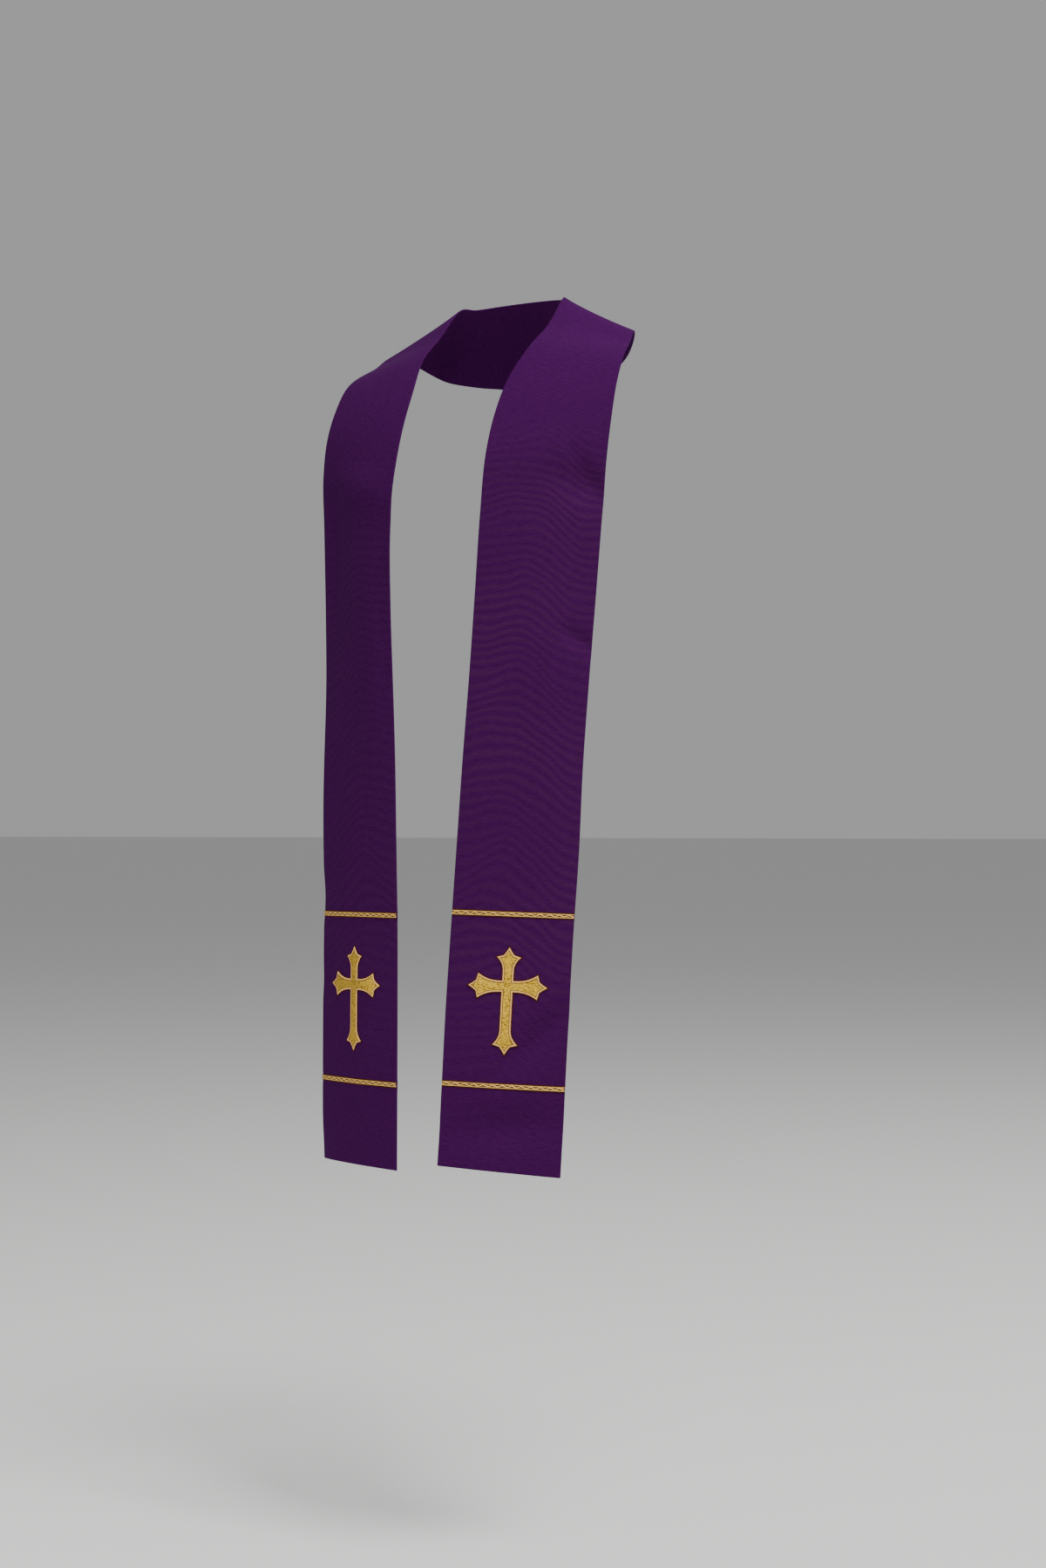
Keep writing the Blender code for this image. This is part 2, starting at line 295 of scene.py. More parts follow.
violetCloth = {
    "base": "#460D50",
    "shade": "#2A0932",
    "ribPitch": 0.0009,
    "warpPitch": 0.0007,
    "weaveShare": 0.25,        # how deep the weave is beside the yarns' own unevenness
    "bumpDepth": 0.00012,
    "grain": 0.0013,
    "slubLength": 0.0090,
    "slubWidth": 0.0016,
    "mottle": (0.55, 1.45),    # the sum of both noises at the darkest and lightest yarns
}
# The watering is painted sheen: mauve bands in the colour that stand for the ribs catching the
# light. Distances are along the strip, from the centre of the back.
wateringSheen = {
    "paintedSheen": "#512C49",
    "strength": 0.23,
    "starts": 0.34,            # it grows below the chest, where the cloth hangs straight,
    "full": 0.46,
    "fades": 0.94,             # and fades over the crosses, where stitching has flattened it
    "ends": 1.18,
    "shareAbove": 0.10,        # what is left of it above its start, and below its end
    "shareBelow": 0.18,
    "shareOnRight": 0.45,      # and on the right front
    "pitch": 0.0109,           # on the chest, at the next distance
    "pitchRun": 0.52,
    "widens": 0.33,            # how fast its bands part further down
    "widest": 0.88,            # the distance from which they part no more
    "drift": 8.0,
    "driftReach": 0.060,       # size of the waves that break up its arches
    "archTop": -0.018,         # across the cloth from its middle
    "archInner": (-0.090, 0.012),    # foot of an arch on the neck side, and its fall
    "archOuter": (0.066, 0.040),     # the same on the outer side
    "plainReach": 0.160,       # size of the stretches that show less of it
    "plainRange": (0.35, 0.60),
    "plainShare": 0.55,
}


def yarnNoise(material, place):
    # How light or dark the yarns are: a fine grain, and slubs that lie along the ribs.
    grain = addNode(material, "TexNoise", {
        "Vector": place, "Scale": 1 / violetCloth["grain"], "Detail": 1.0, "Roughness": 0.5})
    slubPlace = addNode(material, "Mapping", {
        "Vector": place,
        "Scale": (1 / violetCloth["slubLength"], 1 / violetCloth["slubWidth"], 1.0),
    })
    slubs = addNode(material, "TexNoise", {
        "Vector": slubPlace.outputs["Vector"], "Scale": 1.0, "Detail": 2.0, "Roughness": 0.6})
    yarns = addNode(material, "Math", {
        0: slubs.outputs["Fac"], 1: grain.outputs["Fac"]}, operation="ADD")
    return yarns.outputs["Value"]


def archedDistance(material, fromMiddle, along):
    # The distance that the watering's bands are spaced by. It runs slower further down, so
    # the bands part there, and it falls off to both sides, so they arch.
    widens, widest = wateringSheen["widens"], wateringSheen["widest"]
    fastest = 1 + 2 * widens * wateringSheen["pitchRun"]
    upper = addNode(material, "Math", {0: along, 1: widest}, operation="MINIMUM")
    slowing = addNode(material, "Math", {
        0: upper.outputs["Value"], 1: -widens, 2: fastest}, operation="MULTIPLY_ADD")
    slowed = addNode(material, "Math", {
        0: upper.outputs["Value"], 1: slowing.outputs["Value"]}, operation="MULTIPLY")
    lower = addNode(material, "Math", {
        0: along, 1: upper.outputs["Value"]}, operation="SUBTRACT")
    arched = addNode(material, "Math", {
        0: lower.outputs["Value"],
        1: fastest - 2 * widens * widest,
        2: slowed.outputs["Value"],
    }, operation="MULTIPLY_ADD")
    for foot, fall in (wateringSheen["archInner"], wateringSheen["archOuter"]):
        low, high = sorted((foot, wateringSheen["archTop"]))
        atLow, atHigh = (fall, 0.0) if foot == low else (0.0, fall)
        slope = addNode(material, "MapRange", {
            "Value": fromMiddle,
            "From Min": low,
            "From Max": high,
            "To Min": atLow,
            "To Max": atHigh,
        }, interpolation_type="SMOOTHSTEP")
        arched = addNode(material, "Math", {
            0: arched.outputs["Value"], 1: slope.outputs["Result"]}, operation="SUBTRACT")
    return arched.outputs["Value"]


def wateringSheenBands(material, fromMiddle, along):
    place = addNode(material, "CombineXYZ", {
        "X": fromMiddle, "Y": archedDistance(material, fromMiddle, along)})
    scale = bandScale(wateringSheen["pitch"])
    bands = addNode(material, "TexWave", {
        "Vector": place.outputs["Vector"],
        "Scale": scale,
        "Distortion": wateringSheen["drift"],
        "Detail": 1.0,
        "Detail Scale": 1 / (scale * wateringSheen["driftReach"]),
        "Detail Roughness": 0.3,
    }, wave_type="BANDS", bands_direction="Y")
    return bands.outputs["Fac"]


def wateringSheenStrength(material, place, signedRun, along):
    # How much of it shows: less in some stretches, on the right front, and near either end.
    plain = addNode(material, "TexNoise", {
        "Vector": place, "Scale": 1 / wateringSheen["plainReach"], "Detail": 0.0})
    plainFrom, plainTo = wateringSheen["plainRange"]
    ramps = (
        (plain.outputs["Fac"], plainFrom, plainTo, wateringSheen["plainShare"], 1.0),
        (signedRun, -wateringSheen["starts"], wateringSheen["starts"], wateringSheen["shareOnRight"], 1.0),
        (along, wateringSheen["starts"], wateringSheen["full"], wateringSheen["shareAbove"], 1.0),
        (along, wateringSheen["fades"], wateringSheen["ends"], 1.0, wateringSheen["shareBelow"]),
    )
    strength = wateringSheen["strength"]
    for value, start, end, atStart, atEnd in ramps:
        share = addNode(material, "MapRange", {
            "Value": value,
            "From Min": start,
            "From Max": end,
            "To Min": atStart,
            "To Max": atEnd,
        })
        product = addNode(material, "Math", {
            0: strength, 1: share.outputs["Result"]}, operation="MULTIPLY")
        strength = product.outputs["Value"]
    return strength


def weaveRelief(material, place, yarns):
    ribs = addNode(material, "TexWave", {
        "Vector": place, "Scale": bandScale(violetCloth["ribPitch"])},
        wave_type="BANDS", bands_direction="Y")
    warp = addNode(material, "TexWave", {
        "Vector": place, "Scale": bandScale(violetCloth["warpPitch"])},
        wave_type="BANDS", bands_direction="X")
    weave = addNode(material, "Math", {
        0: ribs.outputs["Fac"], 1: warp.outputs["Fac"]}, operation="MULTIPLY")
    relief = addNode(material, "Math", {
        0: weave.outputs["Value"], 1: violetCloth["weaveShare"], 2: yarns},
        operation="MULTIPLY_ADD")
    bump = addNode(material, "Bump", {
        "Strength": 1.0,
        "Distance": violetCloth["bumpDepth"],
        "Height": relief.outputs["Value"],
    })
    return bump.outputs["Normal"]


def violetClothMaterial():
    # Violet polyester rep, a fine plain weave with faint cross ribs. The yarns are matt and
    # uneven, which shows as a close mottle, and the ribs catch the light in turn in slow
    # mauve arches, the watering, painted into the colour as sheen. Real ribs are about 0.4 mm
    # apart and are drawn coarser.
    material, shader = newMaterial("violetPolyesterRep", {
        "Roughness": 0.60,
        "Specular IOR Level": 0.02,
        "Specular Tint": colour("#A23BB8"),
        "Sheen Weight": 0.03,
        "Sheen Roughness": 0.30,
        "Sheen Tint": colour("#8A2AA0"),
    })
    place = addNode(material, "UVMap", uv_map="clothMetres").outputs["UV"]
    parts = addNode(material, "SeparateXYZ", {"Vector": place})
    fromMiddle, signedRun = parts.outputs["X"], parts.outputs["Y"]
    along = addNode(material, "Math", {0: signedRun}, operation="ABSOLUTE").outputs["Value"]
    yarns = yarnNoise(material, place)
    darkest, lightest = violetCloth["mottle"]
    share = addNode(material, "MapRange", {
        "Value": yarns, "From Min": darkest, "From Max": lightest})
    mottle = addNode(material, "Mix", {
        0: share.outputs["Result"],
        6: colour(violetCloth["shade"]),
        7: colour(violetCloth["base"]),
    }, data_type="RGBA")
    paintedSheen = addNode(material, "Math", {
        0: wateringSheenBands(material, fromMiddle, along),
        1: wateringSheenStrength(material, place, signedRun, along),
    }, operation="MULTIPLY")
    # Painted sheen: the watering's mauve bands are mixed into the cloth's colour here.
    mix = addNode(material, "Mix", {
        0: paintedSheen.outputs["Value"], 6: mottle.outputs[2], 7: colour(wateringSheen["paintedSheen"])},
        data_type="RGBA")
    links = material.node_tree.links
    links.new(mix.outputs[2], shader.inputs["Base Color"])
    links.new(weaveRelief(material, place, yarns), shader.inputs["Normal"])
    return material


goldThread = {
    "pitch": 0.00045,
    "waver": 0.6,
    "stitchLength": 0.0019,
    "stitchWidth": 0.0009,         # twice a real thread, so that single stitches show
    "stitchRange": (0.08, 0.46),   # the darkest and lightest of them
    "bumpDepth": 0.00014,
}


def threadMaterial(name, light, dark, settings, direction="X", stipple=0.0, relief=0.75):
    # Metallised or rayon thread laid side by side: bands in the thread's direction, broken by
    # a stipple where the stitches start and stop.
    material, shader = newMaterial(name, settings)
    place = addNode(material, "UVMap", uv_map="threadMetres").outputs["UV"]
    threads = addNode(material, "TexWave", {
        "Vector": place,
        "Scale": bandScale(goldThread["pitch"]),
        "Distortion": goldThread["waver"],
        "Detail": 1.0,
        "Detail Scale": 0.5,
    }, wave_type="BANDS", bands_direction=direction)
    stitches = addNode(material, "Mapping", {
        "Vector": place,
        "Scale": (1 / goldThread["stitchLength"], 1 / goldThread["stitchWidth"], 1.0),
    })
    speckle = addNode(material, "TexVoronoi", {
        "Vector": stitches.outputs["Vector"], "Scale": 1.0})
    darkest, lightest = goldThread["stitchRange"]
    points = addNode(material, "MapRange", {
        "Value": speckle.outputs["Color"], "From Min": darkest, "From Max": lightest})
    share = addNode(material, "Mix", {
        0: stipple, 2: threads.outputs["Fac"], 3: points.outputs["Result"]})
    mix = addNode(material, "Mix", {
        0: share.outputs[0], 6: colour(dark), 7: colour(light)}, data_type="RGBA")
    material.node_tree.links.new(mix.outputs[2], shader.inputs["Base Color"])
    bump = addNode(material, "Bump", {
        "Strength": 1.0,
        "Distance": relief * goldThread["bumpDepth"],
        "Height": share.outputs[0],
    })
    material.node_tree.links.new(bump.outputs["Normal"], shader.inputs["Normal"])
    return material


violet = violetClothMaterial()
# Metallised polyester thread in the cross's filling: yellow gold with bright and dark points.
goldFill = threadMaterial("metallisedGoldFilling", "#FCCD44", "#4E2A04", {
    "Roughness": 0.30, "Metallic": 1.0}, direction="DIAGONAL", stipple=0.80, relief=1.6)
# The same thread couched down in the groove beside the border, coloured darker than the filling
# as painted shade in the groove.
goldGroove = threadMaterial("couchedGoldThreadPaintedShade", "#97651C", "#6A4210", {
    "Roughness": 0.5, "Metallic": 0.3}, direction="X", stipple=0.2)
# Rayon satin stitch round the cross: pale, smooth and a little pink.
satinBorder = threadMaterial("paleGoldSatinStitch", "#FFCE7C", "#DA9E44", {
    "Roughness": 0.40, "Specular IOR Level": 0.35}, direction="X", stipple=0.15)
# The dark thread that outlines the cross and the braid and holds their edges down. It is drawn
# darker and wider than a stitch, so it is part real stitching and part painted shadow along
# their edges.
outlineThreadAndShadow = threadMaterial("darkOutlineStitchAndPaintedShadow", "#562414", "#36140C", {
    "Roughness": 0.7, "Specular IOR Level": 0.05}, direction="X", stipple=0.3)
# Woven metallised braid: the zigzag and the edge cords are of a pale yarn, and the ground
# between them is much deeper.
braidYarn = threadMaterial("paleGoldBraidYarn", "#FFD26C", "#D0983C", {
    "Roughness": 0.38, "Metallic": 0.30}, direction="DIAGONAL", stipple=0.35)
braidGround = threadMaterial("deepGoldBraidGround", "#6C4610", "#342006", {
    "Roughness": 0.50, "Metallic": 0.30}, direction="Y", stipple=0.3)
print("materials made")


def applyModifier(piece, name, kind, **settings):
    modifier = piece.modifiers.new(name, kind)
    for key, value in settings.items():
        setattr(modifier, key, value)
    bpy.context.view_layer.objects.active = piece
    bpy.ops.object.modifier_apply(modifier=name)


def evenly(start, end, steps):
    return [start + (end - start) * step / steps for step in range(steps + 1)]


# The three pieces of cloth

clothSheet = {
    "columns": 44,
    "rowSpacing": 0.0032,
    "edgeRounding": 0.0008,
    "edgeSegments": 3,
    "edgeAngle": 50,          # in degrees, the least turn that is rounded
    "seamOverlap": 0.0001,    # the pieces meet at the shoulder seams
    "flat": {                 # cut size, and the cut's area
        "front": ((0.152, 1.129), 0.165),
        "yoke": ((0.160, 0.355), 0.0355),
    },
}


def panelRun(side, run, across):
    # Below the lower braid the rows lean over to meet the slanted hem.
    freeEnd = braid["heights"]["lower"] - braid["width"]
    lean = smoothStep((run - hemRun + freeEnd) / freeEnd)
    return run + hangs[side].hemSlant * (across - 0.5) * lean


def clothRow(side, run):
    # One row of the sheet's middle layer: each point and its place on the flat cloth.
    row = []
    for across in evenly(0.0, 1.0, clothSheet["columns"]):
        point = clothPoint(side, panelRun(side, run, across), across, strip["thickness"] / 2)
        flat = (across - 0.5) * sectionAt(run).width, run * hangs[side].mirror
        row.append((point, flat))
    return row


def makeCloth(name, rows, node):
    # A sheet through the rows, which then gets its wall and its rounded edges.
    bm = bmesh.new()
    places = bm.loops.layers.uv.new("clothMetres")
    grid = [[(bm.verts.new(point), flatPlace) for point, flatPlace in row] for row in rows]
    for upper, lower in zip(grid, grid[1:]):
        for column in range(len(upper) - 1):
            corners = (upper[column], lower[column], lower[column + 1], upper[column + 1])
            face = bm.faces.new([vert for vert, flatPlace in corners])
            for loop, (vert, flatPlace) in zip(face.loops, corners):
                loop[places].uv = flatPlace
    bmesh.ops.recalc_face_normals(bm, faces=bm.faces)
    mesh = bpy.data.meshes.new(name)
    bm.to_mesh(mesh)
    bm.free()
    mesh.materials.append(violet)
    piece = bpy.data.objects.new(name, mesh)
    bpy.context.scene.collection.objects.link(piece)
    applyModifier(piece, "wall", "SOLIDIFY", thickness=strip["thickness"], offset=0.0,
                  use_even_offset=True)
    applyModifier(piece, "turnedEdge", "BEVEL", width=clothSheet["edgeRounding"],
                  segments=clothSheet["edgeSegments"], limit_method="ANGLE",
                  angle_limit=math.radians(clothSheet["edgeAngle"]))
    mesh.shade_smooth()
    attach(piece, "root")
    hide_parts(node)
    print(name, "laid:", len(mesh.polygons), "faces")


def makeFront(side):
    start = seamRun - clothSheet["seamOverlap"]
    count = round((hemRun - start) / clothSheet["rowSpacing"])
    rows = [clothRow(side, run) for run in evenly(start, hemRun, count)]
    makeCloth(f"frontCloth_{side}", rows, f"front_{side}")


def makeYoke():
    end = seamRun + clothSheet["seamOverlap"]
    half = evenly(0.0, end, round(end / clothSheet["rowSpacing"]))
    rows = [clothRow("right", run) for run in half[:0:-1]]
    rows += [clothRow("left", run) for run in half]
    makeCloth("yokeCloth", rows, "back_yoke")


# Sewing trim on the cloth

def layOn(piece, side, run, acrossMiddle, width):
    # Lays a flat piece on the cloth: x out from the neck side, y up the panel, z off the cloth.
    base = strip["thickness"] + strip["trimGap"]
    mesh = piece.data
    for vertex in mesh.vertices:
        across = acrossMiddle + vertex.co.x / width
        vertex.co = clothPoint(side, run - vertex.co.y, across, base + vertex.co.z)
    if hangs[side].mirror < 0:
        mesh.flip_normals()
    mesh.update()


def keepFlatPlaces(piece):
    # Each corner keeps its place on the flat piece, for patterns that follow the threads.
    mesh = piece.data
    places = mesh.uv_layers.new(name="threadMetres")
    for loop in mesh.loops:
        places.data[loop.index].uv = mesh.vertices[loop.vertex_index].co.xy


def thicken(piece, thickness):
    # Gives a flat piece its thickness, upwards from the cloth.
    bpy.ops.object.select_all(action="DESELECT")
    bpy.context.view_layer.objects.active = piece
    bpy.ops.object.mode_set(mode="EDIT")
    bpy.ops.mesh.select_all(action="SELECT")
    bpy.ops.mesh.extrude_region_move(TRANSFORM_OT_translate={"value": (0.0, 0.0, thickness)})
    bpy.ops.mesh.select_all(action="SELECT")
    bpy.ops.mesh.normals_make_consistent(inside=False)
    bpy.ops.object.mode_set(mode="OBJECT")


def joined(pieces, name):
    bpy.ops.object.select_all(action="DESELECT")
    for piece in pieces:
        piece.select_set(True)
    bpy.context.view_layer.objects.active = pieces[0]
    bpy.ops.object.join()
    whole = bpy.context.object
    whole.name = name
    whole.data.name = name
    whole.select_set(False)
    return whole


def copyOf(pattern, name):
    piece = pattern.copy()
    piece.data = pattern.data.copy()
    piece.name = name
    bpy.context.scene.collection.objects.link(piece)
    return piece


def dress(piece, node):
    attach(piece, "root")
    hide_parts(node)
    return piece


# Braid: a narrow woven ground with a raised zigzag between two corded edges, held down along
# both sides by dark stitching that is widened to be painted shadow beside the braid too

braid = {
    "heights": {"lower": 0.103, "upper": 0.310},    # above the hem, along the panel's middle
    "width": 0.0072,
    "groundThickness": 0.0005,
    "groundWidth": 0.0046,
    "groundRows": 6,
    "zigzags": 13,
    "stepsInALeg": 4,
    "zigzagReach": 0.00095,    # from the braid's middle to a turn
    "zigzagHalf": 0.00048,
    "zigzagHeight": 0.00045,
    "edgeMiddle": 0.00178,
    "edgeHalf": 0.00050,
    "edgeHeight": 0.00045,
    "edgeBeads": 0.88,         # every other ring of an edge cord is this much thinner
    # The dark strands beside each edge: stitching, drawn wide enough to be painted shadow as
    # well.
    "stitchMiddle": 0.00335,
    "stitchAndShadowHalf": 0.00078,
    "stitchHeight": 0.00016,
    "endInset": 0.0006,        # the ends stop just inside the panel's edges
    "strandSides": 10,
}


def braidLength():
    return sectionAt(hemRun - braid["heights"]["lower"]).width - 2 * braid["endInset"]


def growStrand(start, steps, halfWidth, height, yarn, beads=1.0):
    # A strand that grows ring by ring from start, one ring for each step.
    bpy.ops.mesh.primitive_circle_add(
        vertices=braid["strandSides"], radius=halfWidth, fill_type="NGON",
        location=start, rotation=(0.0, math.pi / 2, 0.0))
    bpy.ops.object.transform_apply(location=True, rotation=True, scale=True)
    strand = bpy.context.object
    place = Vector(start)
    bpy.ops.object.mode_set(mode="EDIT")
    bpy.ops.transform.resize(value=(1.0, 1.0, height / halfWidth), center_override=place)
    thin = False
    for step in steps:
        bpy.ops.mesh.extrude_region_move(TRANSFORM_OT_translate={"value": step})
        place += Vector(step)
        ratio = 1 / beads if thin else beads
        bpy.ops.transform.resize(value=(1.0, ratio, ratio), center_override=place)
        thin = not thin
    bpy.ops.mesh.select_all(action="SELECT")
    bpy.ops.mesh.normals_make_consistent(inside=False)
    bpy.ops.object.mode_set(mode="OBJECT")
    strand.data.materials.append(yarn)
    strand.data.shade_smooth()
    return strand


def makeBraidPattern():
    # One braid, flat and straight, that the four are copied from.
    length = braidLength()
    legs = 2 * braid["zigzags"]
    count = legs * braid["stepsInALeg"]
    step = length / count
    level = braid["groundThickness"]

    bpy.ops.mesh.primitive_grid_add(x_subdivisions=count, y_subdivisions=braid["groundRows"],
                                    size=1.0)
    ground = bpy.context.object
    ground.scale = (length, braid["groundWidth"], 1.0)
    bpy.ops.object.transform_apply(location=False, rotation=False, scale=True)
    thicken(ground, level)
    ground.data.materials.append(braidGround)

    pieces = [ground]
    for way in (-1, 1):
        start = (-length / 2, way * braid["edgeMiddle"], braid["edgeHeight"])
        pieces.append(growStrand(start, [(step, 0.0, 0.0)] * count, braid["edgeHalf"],
                                 braid["edgeHeight"], braidYarn, braid["edgeBeads"]))
        # Dark strands along both sides, part stitching and part painted shadow.
        start = (-length / 2, way * braid["stitchMiddle"], braid["stitchHeight"])
        pieces.append(growStrand(start, [(step, 0.0, 0.0)] * count, braid["stitchAndShadowHalf"],
                                 braid["stitchHeight"], outlineThreadAndShadow))
    rise = 2 * braid["zigzagReach"] / braid["stepsInALeg"]
    zigzag = []
    for leg in range(legs):
        way = 1 if leg % 2 == 0 else -1
        zigzag += [(step, way * rise, 0.0)] * braid["stepsInALeg"]
    start = (-length / 2, -braid["zigzagReach"], level)
    pieces.append(growStrand(start, zigzag, braid["zigzagHalf"], braid["zigzagHeight"],
                             braidYarn))
    return joined(pieces, "braidPattern")


def makeBraids():
    pattern = makeBraidPattern()
    keepFlatPlaces(pattern)
    braids = {side: [] for side in hangs}
    for side in hangs:
        for place, height in braid["heights"].items():
            piece = copyOf(pattern, f"braidTrim_{place}_{side}")
            run = hemRun - height
            stretch = (sectionAt(run).width - 2 * braid["endInset"]) / braidLength()
            layOn(piece, side, run, 0.5, sectionAt(run).width / stretch)
            braids[side].append(dress(piece, f"braid_{place}_{side}"))
    bpy.data.objects.remove(pattern)
    print("braids sewn on:", sum(len(row) for row in braids.values()))
    return braids


# Cross: metallised filling inside a raised satin border, outlined in dark thread that is drawn
# wide as painted shadow too

Arm = namedtuple("Arm", "reach flare")
cross = {
    "height": 0.223,    # of the crossing above the hem
    "arms": {
        "up": Arm(0.0470, 0.0170),
        "out": Arm(0.0485, 0.0270),
        "down": Arm(0.0820, 0.0180),
        "in": Arm(0.0485, 0.0270),
    },
    "stemHalf": 0.0066,
    "pointLength": 0.0118,    # from the barbs to the tip of an arm
    "barbHalf": 0.0147,
    "notchHalf": 0.0064,
    "notchLength": 0.0096,
    "pointMiddleHalf": 0.0031,
    "pointMiddleLength": 0.0052,
    "flareSteps": 6,
    "flarePower": 2.3,        # how late the flare opens
    "edgeThickness": 0.0004,
    # Steps in from the edge, each with the height it rises: up over the satin border and
    # halfway down, then through the groove beside it and up to the filling.
    "satinSteps": ((0.0003, 0.0006), (0.0008, 0.0002), (0.0006, -0.0002)),
    "grooveSteps": ((0.0003, -0.0005), (0.0004, 0.0), (0.0002, 0.0003)),
    # The dark outline is drawn wider than a stitch: stitching and painted shadow round the
    # cross.
    "outlineAndShadowWidth": 0.0013,
    "outlineThickness": 0.00035,
    "sharpAngle": 50,         # in degrees, the least turn that stays an edge
    "fineness": 2,            # levels of division once the outline is drawn
}
armDirections = {
    "up": Vector((0.0, 1.0, 0.0)),
    "out": Vector((1.0, 0.0, 0.0)),
    "down": Vector((0.0, -1.0, 0.0)),
    "in": Vector((-1.0, 0.0, 0.0)),
}


def armRows(arm):
    # Distance along the arm and half width there, from its root to just before its tip.
    barb = arm.reach - cross["pointLength"]
    root = barb - arm.flare
    rows = []
    for share in evenly(0.0, 1.0, cross["flareSteps"]):
        half = (cross["barbHalf"] - cross["stemHalf"]) * share ** cross["flarePower"]
        rows.append((root + arm.flare * share, cross["stemHalf"] + half))
    rows.append((arm.reach - cross["notchLength"], cross["notchHalf"]))
    rows.append((arm.reach - cross["pointMiddleLength"], cross["pointMiddleHalf"]))
    return rows


def pickEdges(piece, test):
    bm = bmesh.from_edit_mesh(piece.data)
    for edge in bm.edges:
        edge.select_set(all(test(vert.co) for vert in edge.verts))
    bm.select_flush_mode()
    bmesh.update_edit_mesh(piece.data)


def pickFaces(piece, test):
    bpy.ops.mesh.select_mode(type="FACE")
    bm = bmesh.from_edit_mesh(piece.data)
    for face in bm.faces:
        face.select_set(test(face))
    bm.select_flush_mode()
    bmesh.update_edit_mesh(piece.data)


def drawFlatCross():
    # The outline grows from a square at the crossing, one arm at a time, row by row.
    half = cross["stemHalf"]
    near = 1e-6
    bpy.ops.mesh.primitive_plane_add(size=2 * half)
    piece = bpy.context.object
    bpy.ops.object.mode_set(mode="EDIT")
    for name, along in armDirections.items():
        bpy.ops.mesh.select_mode(type="EDGE")
        pickEdges(piece, lambda spot: abs(spot.dot(along) - half) < near
                  and (spot - along * half).length < half + near)
        place, wide = half, half
        for distance, nextHalf in armRows(cross["arms"][name]):
            bpy.ops.mesh.extrude_region_move(
                TRANSFORM_OT_translate={"value": along * (distance - place)})
            ratio = nextHalf / wide
            widen = [1.0 if abs(part) > 0.5 else ratio for part in along]
            bpy.ops.transform.resize(value=widen, center_override=along * distance)
            place, wide = distance, nextHalf
        bpy.ops.mesh.extrude_region_move(
            TRANSFORM_OT_translate={"value": along * (cross["arms"][name].reach - place)})
        bpy.ops.mesh.merge(type="CENTER")
    bpy.ops.object.mode_set(mode="OBJECT")
    return piece


def pushOut(piece, distance):
    # Moves the flat outline out by distance, square to its sides.
    bm = bmesh.new()
    bm.from_mesh(piece.data)
    moves = {}
    for vert in bm.verts:
        outwards = []
        for edge in vert.link_edges:
            if edge.is_boundary:
                line = (edge.verts[1].co - edge.verts[0].co).normalized()
                square = Vector((line.y, -line.x, 0.0))
                middle = (edge.verts[0].co + edge.verts[1].co) / 2
                inside = edge.link_faces[0].calc_center_median() - middle
                outwards.append(-square if square.dot(inside) > 0 else square)
        if len(outwards) == 2:
            first, second = outwards
            moves[vert] = (first + second) * distance / (1 + first.dot(second))
    for vert, move in moves.items():
        vert.co += move
    bm.to_mesh(piece.data)
    bm.free()


def outlineLoop(piece):
    # The corners of the flat outline in order, each with its distance round from the first.
    neighbours = {}
    bm = bmesh.new()
    bm.from_mesh(piece.data)
    for edge in bm.edges:
        if edge.is_boundary:
            for one, other in (edge.verts, reversed(edge.verts)):
                neighbours.setdefault(one.index, []).append(other.index)
    corners = [vert.co.xy.copy() for vert in bm.verts]
    bm.free()
    order = [min(neighbours)]
    order.append(neighbours[order[0]][0])
    while order[-1] != order[0]:
        ahead = [index for index in neighbours[order[-1]] if index != order[-2]]
        order.append(ahead[0])
    loop = [(corners[order[0]], 0.0)]
    for index in order[1:]:
        corner = corners[index]
        loop.append((corner, loop[-1][1] + (corner - loop[-1][0]).length))
    return loop


def followOutline(piece, loop, slots):
    # Threads of these slots run square to the outline: u is the way round, v the way in.
    mesh = piece.data
    places = mesh.uv_layers["threadMetres"].data
    found = {}
    for polygon in mesh.polygons:
        if polygon.material_index not in slots:
            continue
        for loopIndex in polygon.loop_indices:
            vertex = mesh.loops[loopIndex].vertex_index
            if vertex not in found:
                spot = mesh.vertices[vertex].co.xy
                options = []
                for (start, runStart), (end, runEnd) in zip(loop, loop[1:]):
                    line = end - start
                    share = min(max((spot - start).dot(line) / line.length_squared, 0.0), 1.0)
                    away = (spot - start - line * share).length
                    options.append((away, runStart + (runEnd - runStart) * share))
                away, around = min(options)
                found[vertex] = (around, away)
            places[loopIndex].uv = found[vertex]


